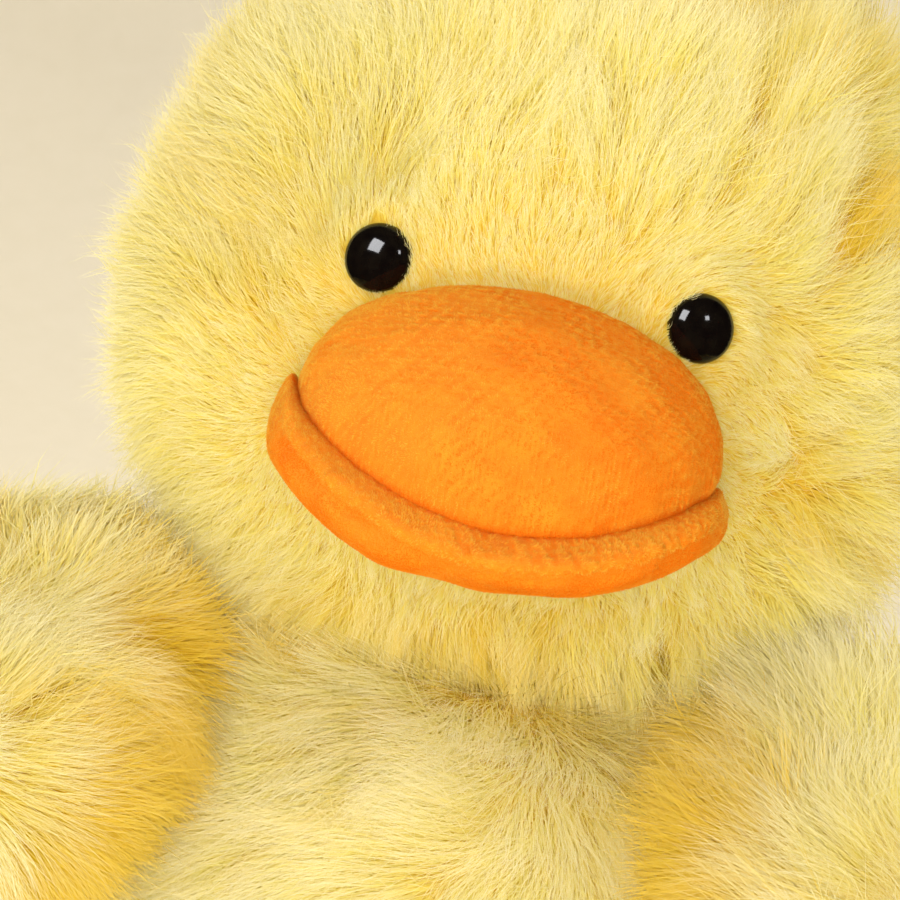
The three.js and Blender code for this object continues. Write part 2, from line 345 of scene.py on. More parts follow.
def stage_material():
    material, nodes, links, shader = new_material("stage_paper")
    place = nodes.new("ShaderNodeTexCoord")
    grain = nodes.new("ShaderNodeTexNoise")
    grain.inputs["Scale"].default_value = 60
    links.new(place.outputs["Object"], grain.inputs["Vector"])
    colour = add_ramp(nodes, [(0.0, (0.88, 0.8, 0.63)), (1.0, (0.92, 0.84, 0.68))])
    links.new(grain.outputs["Fac"], colour.inputs["Fac"])
    links.new(colour.outputs["Color"], shader.inputs["Base Color"])
    shader.inputs["Roughness"].default_value = 0.95
    return material


FUR = pile_material(
    "yellow_fur",
    # the roots' deeper gold is painted shade deep in the pile
    root=(0.88, 0.61, 0.05),
    middle=(0.89, 0.79, 0.2),
    tip=(0.94, 0.9, 0.65),
    # gold_share: the colour of low tints, for random tone and for painted shade in hollows and under parts
    gold_share=(0.93, 0.73, 0.16),
    roughness=0.7,
)
NAP = pile_material(
    "orange_nap",
    # the roots' deeper red is painted shade deep in the nap
    root=(0.9, 0.27, 0.01),
    middle=(0.9, 0.4, 0.03),
    tip=(0.9, 0.55, 0.1),
    # gold_share: the colour of low tints, for random tone and for painted shade in the crease, on the
    # underside and in ripple hollows
    gold_share=(0.95, 0.5, 0.2),
    roughness=0.8,
)
# the backing cloth under the pile; its deep gold matches the shade deep in the pile, so it is partly painted
# shade
BACKING = cloth_material("fur_backing", (0.78, 0.5, 0.04), (0.86, 0.6, 0.07), 120)
ORANGE = cloth_material("orange_cloth", (0.84, 0.22, 0.008), (0.92, 0.32, 0.015), 150)
EYE = eye_material()


# Pile


@dataclass
class Coat:
    """How one piece's pile grows.

    The fields down to relief are rules that take the roots. The comb and the tint take their normals too.
    """

    comb: object  # the way that the pile is brushed
    length: object
    density: object  # strands on a square metre
    width: object
    tint: object = None  # deeper gold below 0, lighter above; the furred coats paint shade with it, and the nap paints shade and highlight over random patches
    stand: object = None  # 1 where the pile stands up, because it is crowded
    locked: object = None  # 1 where the pile hangs in locks, 0 where it lies evenly
    relief: object = None  # the height of the cloth's own bumps, which the pile shades by
    rows: int = 5  # places along a strand, its root and its tip among them
    lift: tuple = (54, 84)  # degrees from the surface's normal, at the root and at the tip
    locks: float = 9 * MM  # between one lock and the next
    tufts: float = 2 * MM  # between the tufts inside a lock
    tousle: float = 26  # degrees that the locks turn from the brushed way
    pull: tuple = (0.72, 0.3)  # how far a strand's tip is drawn into its lock and its tuft
    arc: float = 0.22  # how far a lock bends aside, as a share of its length
    wave: float = 0.045  # a strand's own wave, as a share of its length
    unruly: float = 0.2  # share of the strands that follow no lock
    roll: float = 0.25  # radians that a strand's flat side turns from the surface
    own_shade: float = 0.26  # how far a strand shades by its own face and not by the coat's
    front_shade: float = 1.1  # how far the pile shades by the side that it is seen from
    mottle: float = 1.0  # how far the tint varies
    pale: float = 0.0  # how far up its colours the pile starts, so less of the painted shade at the roots shows
    opaque: int = 4  # one piece in this many casts shadows, since pale fibres let most light through


def scatter(points, triangles, density):
    """Random roots on a surface, with their normals."""
    normals = vertex_normals(points, triangles)
    a, b, c = (points[triangles[:, i]] for i in range(3))
    area = np.linalg.norm(np.cross(b - a, c - a), axis=1) / 2
    wanted = area * density((a + b + c) / 3)
    chosen = rng.choice(len(triangles), int(wanted.sum()), p=wanted / wanted.sum())
    u, v = rng.random((2, len(chosen)))
    u, v = np.where(u + v > 1, 1 - u, u), np.where(u + v > 1, 1 - v, v)
    shares = np.stack([1 - u - v, u, v], axis=1)[:, :, None]
    corners = triangles[chosen]
    return (points[corners] * shares).sum(1), unit((normals[corners] * shares).sum(1))


def nearest(roots, guides):
    """Which guide each root is nearest to."""
    tree = KDTree(len(guides))
    for i, g in enumerate(guides):
        tree.insert(g, i)
    tree.balance()
    return np.array([tree.find(r)[1] for r in roots.tolist()])


def turned(vectors, axes, angles):
    """Each vector turned about its own axis, square to it."""
    return vectors * np.cos(angles)[:, None] + np.cross(axes, vectors) * np.sin(angles)[:, None]


def lanes(rows):
    """The triangles of one tapered strand: pairs of points up to the tip."""
    faces = []
    for i in range(rows - 2):
        a = 2 * i
        faces += [[a, a + 1, a + 3], [a, a + 3, a + 2]]
    tip = 2 * (rows - 1)
    return np.array([*faces, [tip - 2, tip - 1, tip]])


class Crowd:
    """Strands gathered into tufts and locks. It draws random numbers for each lock, tuft or strand."""

    def __init__(self, coat, roots):
        self.roots = roots
        self.usual = coat.length(roots)
        self.long = np.minimum(1, self.usual / coat.locks / 1.7)  # short pile shows no locks
        if coat.locked:
            self.long *= coat.locked(roots)
        middles = rng.random(len(roots)) < 1 / np.maximum(1, coat.density(roots) * coat.tufts**2)
        tuft_roots = roots[middles]
        lock_roots = tuft_roots[:: max(1, int((coat.locks / coat.tufts) ** 2))]
        self.tuft = nearest(roots, tuft_roots)
        self.lock = nearest(tuft_roots, lock_roots)[self.tuft]
        self.tufts, self.locks = len(tuft_roots), len(lock_roots)  # how many there are
        self.to_tuft = tuft_roots[self.tuft] - roots
        self.to_lock = lock_roots[self.lock] - roots
        self.free = rng.random(len(roots)) < coat.unruly
        self.held = np.where(self.free, 0.1, 1.0) * self.long  # how firmly a strand is in its lock

    def each_lock(self, spread):
        return (rng.normal(size=self.locks) * spread)[self.lock] * self.long

    def each_tuft(self, spread):
        return (rng.normal(size=self.tufts) * spread)[self.tuft]

    def each(self, spread):
        return rng.normal(size=len(self.roots)) * spread


def brushed(coat, crowd, normals):
    """The way that each strand is brushed, and the ways that it points at its root and at its tip."""
    turn = crowd.each_lock(0.3) + crowd.each_tuft(0.2) + wander(crowd.roots, 36 * MM, 3)
    turn *= math.radians(coat.tousle)
    comb = along_surface(coat.comb(crowd.roots, normals), normals)
    comb = turned(comb, normals, turn + crowd.each(0.12) + crowd.each(0.5) * crowd.free)
    lift = crowd.each_lock(0.08) + crowd.each_tuft(0.08) + crowd.each(0.08) - 0.3 * crowd.free
    stand = coat.stand(crowd.roots) if coat.stand else 0
    lift = np.radians(coat.lift)[:, None] * (1 - 0.6 * stand) + lift
    first, last = (normals * np.cos(angle)[:, None] + comb * np.sin(angle)[:, None] for angle in lift)
    return comb, first, last


def strand_paths(coat, roots, normals):
    """Where each strand runs, its brushed way and its tint."""
    crowd = Crowd(coat, roots)
    comb, first, last = brushed(coat, crowd, normals)
    reach = np.linalg.norm(crowd.to_lock, axis=1)
    valley = np.clip(reach / coat.locks, 0, 1) - 0.5  # over 0 between two locks
    length = crowd.usual * (1 + crowd.each_lock(0.08)) * (0.93 - 0.3 * crowd.long * valley)
    length *= rng.uniform(0.7, 1.1, len(roots))
    length = np.where(crowd.free, length * rng.uniform(0.5, 0.95, len(roots)), length)
    pull = coat.pull[0] * crowd.held * np.minimum(1, 1.4 * length / np.maximum(reach, 1e-9))
    to_lock = crowd.to_lock * pull[:, None]
    to_tuft = crowd.to_tuft * (coat.pull[1] * crowd.held)[:, None]
    side = np.cross(normals, comb)
    bend = crowd.each_lock(0.6) + wander(roots, 22 * MM, 5) * 0.7 + crowd.each(0.12)
    bend = length * coat.arc * bend
    phase = rng.uniform(0, 2 * math.pi, crowd.tufts)[crowd.tuft] + crowd.each(0.6)
    wave = length * coat.wave * rng.uniform(0.4, 1.6, len(roots)) * (1 + 1.5 * crowd.free)

    path = np.empty((coat.rows, len(roots), 3))
    for i, s in enumerate(np.linspace(0, 1, coat.rows)):
        run = first * (s - s * s / 2) + last * (s * s / 2)
        aside = bend * s * s + wave * s * np.sin(phase + s * 5)
        path[i] = roots + run * length[:, None] + to_lock * s**1.6 + to_tuft * s**1.2 + side * aside[:, None]
    tint = crowd.each_lock(0.1) + crowd.each_tuft(0.05) + crowd.each(0.1)
    # random tone over wide patches, and painted shade in the valleys between locks
    tint += 0.1 * wander(roots, 60 * MM, 8) - 0.45 * crowd.long * valley
    return path, comb, 0.55 + tint * coat.mottle


def tapered(path, across, width):
    """Each strand as pairs of points, side by side, that come together in one at its tip."""
    taper = (1 - np.linspace(0, 1, len(path))[:-1]) ** 0.7
    half = taper[:, None, None] * width[None, :, None] / 2
    sides = np.stack([path[:-1] - across[:-1] * half, path[:-1] + across[:-1] * half], axis=2)
    sides = sides.transpose(1, 0, 2, 3).reshape(len(width), -1, 3)
    return np.concatenate([sides, path[-1][:, None]], axis=1)


def seen_from(normals):
    """The way from a surface to where it is seen from: in front, behind, or straight off its sides."""
    front, behind = ramp(normals[:, 1:2], 0.3, -0.1), ramp(normals[:, 1:2], 0.3, 0.7)
    way = np.array([0.0, -1.0, 0.1]) * front + np.array([0.0, 1.0, 0.3]) * behind
    return unit(way + normals * (1 - front - behind))


def shading(coat, roots, normals, faces):
    """The normals that the strands' points shade by: the cloth's own, leaning to the viewer."""
    bumpy = normals - 2 * slope(coat.relief, roots) if coat.relief else normals
    shade = unit(bumpy + coat.front_shade * seen_from(normals) + coat.own_shade * faces)
    return np.concatenate([np.repeat(shade[:-1], 2, axis=0), shade[-1:]]).transpose(1, 0, 2)


def colour_places(coat, tint):
    """Where the strands' points lie on the colour map: u is the tint, and v runs from root to tip."""
    u = np.repeat(np.clip(tint, 0.02, 0.97)[:, None], 2 * coat.rows - 1, axis=1)
    u[:, 1:-1:2] += 0.015
    shares = np.linspace(0, 1, coat.rows)
    v = coat.pale + (1 - coat.pale) * np.append(np.repeat(shares[:-1], 2), 1)
    return np.stack([u, np.broadcast_to(0.01 + 0.98 * v, u.shape)], axis=2)


def wound(strands, pattern, outward):
    """The triangles of some strands, each turned to face outward."""
    faces = np.repeat(pattern[None], len(strands), axis=0)
    a, b, c = (strands[:, pattern[:, i]] for i in range(3))
    away = (np.cross(b - a, c - a) * outward[:, None]).sum(-1) < 0
    faces[away] = faces[away][:, ::-1]
    first_points = np.arange(len(strands)) * strands.shape[1]
    return (faces + first_points[:, None, None]).reshape(-1, 3)


def grow(name, form, coat, material, place):
    """Grows a coat on a form as tapered strands, in pieces small enough to keep every strand."""
    roots, normals = scatter(*form, coat.density)
    path, comb, tint = strand_paths(coat, roots, normals)
    if coat.tint:
        tint = tint + coat.tint(roots, normals)
    low, high = np.array(cad_box[0]) - STAND_PROUD, np.array(cad_box[1]) + STAND_PROUD
    low[2] = FLOOR_GAP
    path = np.clip(path, low, high)

    width = coat.width(roots) * rng.uniform(0.75, 1.2, len(roots))
    facing = turned(normals, comb, rng.uniform(-coat.roll, coat.roll, len(roots)))
    ahead = unit(np.gradient(path, axis=0))
    across = unit(np.cross(ahead, facing))
    strands = tapered(path, across, width)
    shade = shading(coat, roots, normals, np.cross(across, ahead))
    colours = colour_places(coat, tint)
    outward = seen_from(normals) + 0.5 * normals

    pattern = lanes(coat.rows)
    pieces = coat.opaque * math.ceil(len(roots) * len(pattern) / MOST_TRIANGLES / coat.opaque)
    for number, part in enumerate(np.array_split(rng.permutation(len(roots)), pieces)):
        points = strands[part].reshape(-1, 3)
        faces = wound(strands[part], pattern, outward[part])
        obj = mesh_object(f"{name}_{number + 1}", points, faces, material, shade[part])
        obj.visible_shadow = number % coat.opaque == 0
        uv = colours[part].reshape(-1, 2)
        layer = obj.data.uv_layers.new(name="OFBake")
        layer.uv.foreach_set("vector", uv[faces.ravel()].astype(np.float32).ravel())
        place(obj)


# The frame's own places


def tip_and_axis(node, inside):
    """The outermost point of an eye, and the way that it looks."""
    points, _ = arrays_of(frame["nodes"][node])
    far = np.linalg.norm(points - inside, axis=1)
    tip = points[far.argmax()]
    end = points[far < far.min() + 0.5 * MM].mean(axis=0)
    return tip, unit(tip - end)


head_points, _ = arrays_of(frame["nodes"]["head_cover"])
head_middle = np.array([0, 0, head_points[np.abs(head_points[:, 0]).argmax(), 2]])
eyes = {hand: tip_and_axis(f"eye_{hand}", head_middle) for hand in ("left", "right")}
eye_middle = (eyes["left"][0] + eyes["right"][0]) / 2


# Eyes


def revolved(profile, tip, axis, turns):
    """The points and faces of a closed form: pairs of radius and depth, turned about an axis."""
    start = unit(np.cross(axis, UP))
    angles = 2 * math.pi * np.arange(turns)[:, None] / turns
    ways = start * np.cos(angles) + np.cross(axis, start) * np.sin(angles)
    rings = [tip - axis * depth + ways * radius for radius, depth in profile[1:-1]]
    ends = [[tip - axis * profile[i][1]] for i in (0, -1)]
    points = np.concatenate([*rings, *ends])
    front, back = len(points) - 2, len(points) - 1
    last = turns * (len(rings) - 1)
    faces = []
    for i in range(turns):
        j = (i + 1) % turns
        faces += [(front, i, j), (last + i, back, last + j)]
        faces += [(a + i, a + turns + i, a + turns + j, a + j) for a in range(0, last, turns)]
    return points, faces


def add_eye(hand):
    """A domed cap with a thin rim, turned about the eye's axis."""
    tip, axis = eyes[hand]
    points, _ = arrays_of(frame["nodes"][f"eye_{hand}"])
    across = np.linalg.norm(np.cross(points - tip, axis), axis=1)
    depth = (tip - points) @ axis
    radius = across.max()
    rim = across > radius - 0.05 * MM
    dome, back = depth[rim].min(), depth[rim].max()
    shank = across[depth > back + MM].max()
    edge = 0.2 * MM  # the bevel behind the rim
    rings = 20
    profile = [(0.0, 0.0)]
    for i in range(1, rings + 1):
        angle = math.pi / 2 * i / rings
        profile.append((radius * math.sin(angle), dome * (1 - math.cos(angle))))
    profile += [(radius, back - edge), (radius - edge, back)]
    profile += [(shank, back), (shank, depth.max()), (0, depth.max())]
    points, faces = revolved(profile, tip, axis, turns=72)
    data = bpy.data.meshes.new(f"eye_{hand}_cap")
    data.from_pydata(points.tolist(), [], faces)
    data.shade_smooth()
    data.materials.append(EYE)
    obj = bpy.data.objects.new(data.name, data)
    bpy.context.scene.collection.objects.link(obj)
    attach(obj, "head")
    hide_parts(f"eye_{hand}")


# Padded pieces


def rides(body):
    def place(obj):
        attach(obj, body)

    return place


def bends():
    def place(obj):
        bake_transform(obj)

    return place


def place_lip(obj):
    """Bakes the lip's place into its points."""
    bends()(obj)


def place_foot():
    """A placing that bakes the foot's place into its points."""
    return bends()


def foot_hinge(hand):
    """The middle of the seam that the foot bends at, and the way that the foot points."""
    joint = next(j for j in frame["joints"] if j["name"] == f"foot_flex_{hand}")
    return np.array(joint["pos_m"]), unit(np.cross(UP, joint["axis"]))


def stuff(piece, voxel, rise):
    """A padded piece: its filling remeshed and fitted to its cover's outside, then blown up as cloth.

    voxel is the remesh's step, and rise is the most that the cloth may swell.
    """
    obj = bpy.data.objects.new(f"{piece}_pad", frame["nodes"][f"{piece}_filling"].data.copy())
    obj.data.materials.clear()
    bpy.context.scene.collection.objects.link(obj)
    bpy.context.view_layer.objects.active = obj
    remesh = obj.modifiers.new("remesh", "REMESH")
    remesh.mode = "VOXEL"
    remesh.voxel_size = voxel
    bpy.ops.object.modifier_apply(modifier=remesh.name)
    start, triangles = arrays_of(obj)
    edges = edges_of(triangles)
    start = relax(start, edges, 3)
    outside = tree_of(frame["nodes"][f"{piece}_cover"])
    for rounds in (3, 1):
        start = relax(fitted(outside, start, vertex_normals(start, triangles), 5 * MM), edges, rounds)
    obj.data.vertices.foreach_set("co", start.ravel())
    obj.data.update()
    cloth = obj.modifiers.new("cloth", "CLOTH")
    cloth.settings.quality = 6
    cloth.settings.mass = 0.2
    cloth.settings.use_pressure = True
    cloth.settings.uniform_pressure_force = 4
    cloth.settings.effector_weights.gravity = 0
    cloth.settings.tension_stiffness = 12
    cloth.settings.compression_stiffness = 12
    for number in range(1, CLOTH_FRAMES + 1):
        bpy.context.scene.frame_set(number)
    bpy.ops.object.modifier_apply(modifier=cloth.name)
    bpy.context.scene.frame_set(1)
    blown, _ = arrays_of(obj)
    move = blown - start
    size = np.linalg.norm(move, axis=1, keepdims=True)
    start = relax(start + move * np.minimum(1, rise / np.maximum(size, 1e-9)), edges, 1)
    obj.data.vertices.foreach_set("co", start.ravel())
    smooth = obj.modifiers.new("smooth", "SUBSURF")
    smooth.levels = smooth.render_levels = 1
    bpy.ops.object.modifier_apply(modifier=smooth.name)
    obj.data.shade_smooth()
    obj.data.materials.append(ORANGE)
    obj.select_set(False)
    return obj


def reshape(obj, rule):
    """Moves an object's points by a rule, and evens them out."""
    points, triangles = arrays_of(obj)
    points = relax(rule(points, vertex_normals(points, triangles)), edges_of(triangles), 2)
    obj.data.vertices.foreach_set("co", points.ravel())
    obj.data.update()


def dented(points, facing, flat, line, depth, width):
    """How deep a soft channel along a line is pressed into a pad.

    flat holds the points in the line's plane. facing is 1 where the pad faces the side it is seen from.
    """
    gap = np.full(len(points), np.inf)
    for a, b in zip(line, line[1:]):
        a, b = np.array(a), np.array(b)
        share = np.clip((flat - a) @ (b - a) / ((b - a) @ (b - a)), 0, 1)
        gap = np.minimum(gap, np.linalg.norm(flat - a - share[:, None] * (b - a), axis=1))
    return (depth * ramp(facing, 0, 0.3) * np.exp(-((gap / width) ** 2)))[:, None]


def under_lip(points, start=-0.4 * MM, end=0.8 * MM):
    """0 on the lip's band, 1 on the recessed underside below its seam, fading at the corners."""
    low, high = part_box("lower_bill_cover")
    seam = LIP_SEAM + LIP_CURL * (points[:, 0] / high[0]) ** 2
    corner = ramp(np.abs(points[:, 0]), high[0], 0.8 * high[0])
    return ramp(seam - points[:, 2], start, end) * corner


def add_bill():
    upper = stuff("upper_bill", voxel=1.4 * MM, rise=0.5 * MM)
    level = eye_middle[2]

    def crease(points, normals):
        """A short pleat between the eyes, and a fold by the smile's corner on the duck's right."""
        pleat = [(-6 * MM, level - 0.5 * MM), (2 * MM, level - 2.2 * MM)]
        fold = [(-39 * MM, level - 18 * MM), (-32 * MM, level - 15.5 * MM), (-26 * MM, level - 15 * MM)]
        flat = points[:, [0, 2]]
        depth = dented(points, -normals[:, 1], flat, pleat, depth=0.8 * MM, width=1.2 * MM)
        depth += dented(points, -normals[:, 1], flat, fold, depth=0.4 * MM, width=1.0 * MM)
        return points + normals * (0.35 * MM - depth)

    reshape(upper, crease)
    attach(upper, "head")
    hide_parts("upper_bill_cover", "upper_bill_filling")
    lower = stuff("lower_bill", voxel=1.2 * MM, rise=0.4 * MM)
    upper_tree = tree_of(upper)

    def shape_lip(points, normals):
        """A ridge along the seam, a groove under it, and corners that end in a tip on the upper bill."""
        ridge = under_lip(points, -3 * MM, 0) - under_lip(points)
        sag = under_lip(points, 1 * MM, 4 * MM) * ramp(-points[:, 0], 3 * MM, 18 * MM)
        swell = 0.35 * MM + 0.8 * MM * ridge - 1.3 * MM * under_lip(points) + 1.6 * MM * sag
        points = points + normals * swell[:, None]
        corner = ramp(np.abs(points[:, 0]), 32 * MM, 43 * MM)[:, None]
        left = ramp(points[:, :1], -5 * MM, 5 * MM)
        tip = ramp(points[:, 2:], 205 * MM, LIP_HELD) * corner
        points = points + (nearest_on(upper_tree, points) - points) * (0.12 * left * corner + 0.65 * tip)
        return points + UP * (2.5 - 5 * left) * MM * tip

    reshape(lower, shape_lip)
    place_lip(lower)
    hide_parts("lower_bill_cover", "lower_bill_filling")
    return upper, lower


def add_foot(hand):
    foot = stuff(f"foot_{hand}", voxel=2.2 * MM, rise=0.6 * MM)
    pivot, ahead = foot_hinge(hand)
    aside = np.cross(UP, ahead)
    middle = pivot + ahead * TOE_CENTRE

    def sew_toes(points, normals):
        """Two channels between the three toes, and a flat sole."""
        flat = np.stack([(points - middle) @ ahead, (points - middle) @ aside], axis=1)
        depth = 0
        for angle in (-TOE_GAP, TOE_GAP):
            way = np.array([math.cos(angle), math.sin(angle)])
            channel = [way * 4 * MM, way * 44 * MM]
            depth = depth + dented(points, normals[:, 2], flat, channel, depth=3 * MM, width=2.2 * MM)
        points = points - normals * depth
        points[:, 2] = np.maximum(points[:, 2], FLOOR_GAP)
        return points

    reshape(foot, sew_toes)
    place_foot()(foot)
    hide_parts(f"foot_{hand}_cover", f"foot_{hand}_filling")
    return foot


# Furred pieces


def add_skin(name, form, body, nodes):
    """The backing cloth that the pile grows on, in place of some of the frame's nodes."""
    skin = mesh_object(name, *form, BACKING)
    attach(skin, body)
    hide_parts(*nodes)
    return skin


def even(value):
    """A rule that gives the same value for every root."""
    return lambda roots: np.full(len(roots), value)


def inset(form, depth):
    """A form moved in along its normals."""
    points, triangles = form
    return points - vertex_normals(points, triangles) * depth, triangles


def from_eyes(points):
    """The distance to the nearer eye's middle."""
    middles = [tip - axis * 5 * MM for tip, axis in eyes.values()]
    return np.min([np.linalg.norm(points - middle, axis=1) for middle in middles], axis=0)


def add_head(bill_tree):
    points, triangles = outer_form("head_cover", "head_filling")
    face = np.minimum(distance_to(bill_tree, points, 30 * MM), from_eyes(points) - 6 * MM)
    depth = FACE_SKIN_DEPTH + (SKIN_DEPTH - FACE_SKIN_DEPTH) * ramp(face, 2 * MM, 18 * MM)
    depth -= EYE_RISE * (1 - ramp(from_eyes(points), 6 * MM, 14 * MM))
    form = inset((points, triangles), depth[:, None])
    form[0][:, 2] = np.maximum(form[0][:, 2], points[:, 2].min())
    hidden = ["head_cover", "head_filling", "eye_washer_left", "eye_washer_right"]
    add_skin("head_skin", form, "head", hidden)

    def comb(roots, normals):
        away = unit(roots - nearest_on(bill_tree, roots))
        behind = ramp(roots[:, 1], -10 * MM, 50 * MM)[:, None]
        low = ramp(roots[:, 2], 250 * MM, 200 * MM)[:, None]
        cheek = ramp(roots[:, :1], 15 * MM, 45 * MM)
        return away * (1 - 0.6 * behind) - UP * (0.15 + 0.75 * behind + 0.6 * cheek * (1 - behind)) * low

    def front(roots):
        return ramp(roots[:, 1], 5 * MM, -25 * MM)

    def short(roots):
        near = np.minimum(distance_to(bill_tree, roots, 20 * MM), from_eyes(roots) - 5 * MM)
        return 1 - ramp(near, 3 * MM, 14 * MM)

    def length(roots):
        bill = 3 * MM + 21 * MM * ramp(distance_to(bill_tree, roots, 60 * MM), 1 * MM, 42 * MM)
        eye = 5 * MM + 20 * MM * ramp(from_eyes(roots), 7 * MM, 26 * MM)
        from_level = np.abs(roots[:, 2] - eye_middle[2])
        full = ramp(roots[:, 0], 20 * MM, 50 * MM) * ramp(from_level, 15 * MM, 40 * MM)
        chin = ramp(roots[:, 2], 205 * MM, 182 * MM) * front(roots)
        return np.minimum(bill, eye) * (1 + 0.5 * full + 0.2 * chin)

    def stand(roots):
        under = ramp(roots[:, 2], 194 * MM, HEAD_FOOT)
        lashes = 0.35 * (1 - ramp(from_eyes(roots), 6 * MM, 9 * MM))
        return under * (0.45 + 0.55 * ramp(roots[:, 1], -45 * MM, -25 * MM)) + lashes

    def density(roots):
        bare = (from_eyes(roots) < 5.2 * MM) | (distance_to(bill_tree, roots, 3 * MM) < 0.4 * MM)
        return (0.95e6 + 3.7e6 * front(roots) + 5e6 * short(roots)) * ~bare

    def width(roots):
        return 0.5 * MM - 0.33 * MM * front(roots) - 0.05 * MM * short(roots)

    def locked(roots):
        right = ramp(roots[:, 0], -5 * MM, 35 * MM) * ramp(from_eyes(roots), 12 * MM, 30 * MM)
        return 0.3 + 0.9 * right

    def tint(roots, normals):
        # painted shade: the pile low on the head, under the chin, is tinted deeper gold
        return -0.15 * ramp(roots[:, 2], 188 * MM, HEAD_FOOT)

    coat = Coat(comb, length, density, width, tint, stand, locked)
    grow("head_fur", form, coat, FUR, rides("head"))


def add_neck():
    form = inset(outer_form("neck_filling", detail=4), SKIN_DEPTH + 0.3 * MM)
    add_skin("neck_skin", form, "neck", ["neck_filling"])


def add_body():
    points, triangles = outer_form("body_cover", "body_filling", "neck_filling")
    neck = ramp(points[:, 2], 140 * MM, 155 * MM)[:, None]
    points += (relax(points, edges_of(triangles), 100) - points) * neck
    around = np.linalg.norm(points[:, :2], axis=1)
    points += UP * (9 * MM * neck[:, 0] * ramp(around, 26 * MM, 36 * MM))[:, None]
    form = inset((points, triangles), SKIN_DEPTH)
    form[0][:, 2] = np.maximum(form[0][:, 2], FLOOR_GAP)
    add_skin("body_skin", form, "body", ["body_cover", "body_filling", "pellet_bag"])

    def chest(roots):
        return ramp(roots[:, 1], -15 * MM, -40 * MM) * ramp(roots[:, 2], 75 * MM, 100 * MM)

    def comb(roots, normals):
        aside = roots[:, 0] * 6 + chest(roots) * (0.4 - 1.7 * ramp(roots[:, 0], 40 * MM, -10 * MM))
        return np.stack([aside, np.zeros(len(roots)), -np.ones(len(roots))], axis=1)

    def length(roots):
        above_floor = ramp(roots[:, 2], 2 * MM, 20 * MM)
        below_neck = 1 - ramp(roots[:, 2], 168 * MM, 178 * MM)
        full = ramp(roots[:, 2], 120 * MM, 150 * MM)
        usual = 9 * MM + 9 * MM * above_floor * (0.5 + 0.5 * below_neck) + 3 * MM * full
        return usual * (1 - 0.35 * stand(roots))

    def stand(roots):
        return ramp(roots[:, 2], 143 * MM, 158 * MM) * ramp(roots[:, 1], -38 * MM, -24 * MM)

    def tint(roots, normals):
        # painted shade: the crowded pile in the gap under the head is tinted deeper gold
        return -0.5 * stand(roots)

    def locked(roots):
        return 1 - 0.5 * chest(roots)

    def density(roots):
        above = ramp(roots[:, 2], 0.5 * MM, 3 * MM)
        return (1.05e6 + 3.5e6 * chest(roots)) * above

    def width(roots):
        return 0.55 * MM - 0.37 * MM * chest(roots)

    coat = Coat(comb, length, density, width, tint, stand, locked, pale=0.12)
    grow("body_fur", form, coat, FUR, rides("body"))


def add_wing(hand):
    side = 1 if hand == "left" else -1
    form = inset(outer_form(f"wing_{hand}_cover", f"wing_{hand}_filling", detail=5), SKIN_DEPTH)
    add_skin(f"wing_{hand}_skin", form, f"wing_{hand}", [f"wing_{hand}_cover", f"wing_{hand}_filling"])
    low, high = (np.array(c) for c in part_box(f"wing_{hand}_cover"))
    middle = (low + high) / 2
    ahead = unit(np.array([0.14 * side, -0.93, -0.34]))

    def comb(roots, normals):
        around = unit(np.cross(ahead, roots - middle)) * side
        return -ahead * 0.8 + around * 0.35 - UP * 0.35

    def length(roots):
        hinge = ramp((roots - middle) @ ahead, -50 * MM, -20 * MM)
        top = ramp(roots[:, 2], 158 * MM, 178 * MM)
        return 10 * MM + (14.5 + 2.5 * side) * MM * hinge + (2.5 + 4 * side) * MM * top

    def front(roots):
        return ramp(roots[:, 1], -20 * MM, -60 * MM)

    def density(roots):
        return 1.0e6 + 3.4e6 * front(roots)

    def width(roots):
        return 0.5 * MM - 0.32 * MM * front(roots)

    def tint(roots, normals):
        # painted shade: the side that faces the body is tinted deeper gold
        return -0.7 * ramp(-normals[:, 0] * side, 0.1, 0.8)

    def locked(roots):
        return 1 - 0.4 * front(roots)

    coat = Coat(
        comb,
        length,
        density,
        width,
        tint,
        locked=locked,
        lift=(48, 80),
        tousle=38,
        arc=0.3,
        wave=0.06,
        pale=0.12,
    )
    grow(f"wing_{hand}_fur", form, coat, FUR, rides(f"wing_{hand}"))


def add_tail():
    form = inset(outer_form("tail_cover", "tail_filling", detail=5), SKIN_DEPTH)
    add_skin("tail_skin", form, "body", ["tail_cover", "tail_filling"])

    def comb(roots, normals):
        return np.tile([0.0, 0.8, 0.6], (len(roots), 1))

    coat = Coat(comb, even(14 * MM), even(1.2e6), even(0.5 * MM))
    grow("tail_fur", form, coat, FUR, rides("body"))


# Short nap on the orange cloth


def add_nap(pad, place, density, length, painted_light=None, relief=None):
    """One-triangle fibres brushed back from the tip. A rule of their roots may add painted shade and
    highlight to their tint.
    """

    def comb(roots, normals):
        return np.tile([0.0, 1.0, -0.15], (len(roots), 1))

    def tint(roots, normals):
        patches = 0.1 * wander(roots, 14 * MM, 21) + 0.06 * wander(roots, 5 * MM, 22)
        # random patches of tone, plus painted shade and highlight from the rule
        return patches + (painted_light(roots) if painted_light else 0)

    coat = Coat(
        comb,
        even(length),
        even(density),
        even(0.15 * MM),
        tint,
        relief=relief,
        rows=2,
        lift=(25, 60),
        locks=1.2 * MM,
        tufts=0.6 * MM,
        tousle=30,
        roll=0.15,
        own_shade=0.15,
        front_shade=0.45,
        mottle=0.35,
    )
    grow(pad.name.replace("_pad", "_nap"), arrays_of(pad), coat, NAP, place)


def near_crease(roots, other):
    """1 deep in the fold between the bill and its lip."""
    return 1 - ramp(distance_to(other, roots, 3 * MM), 0.3 * MM, 2 * MM)


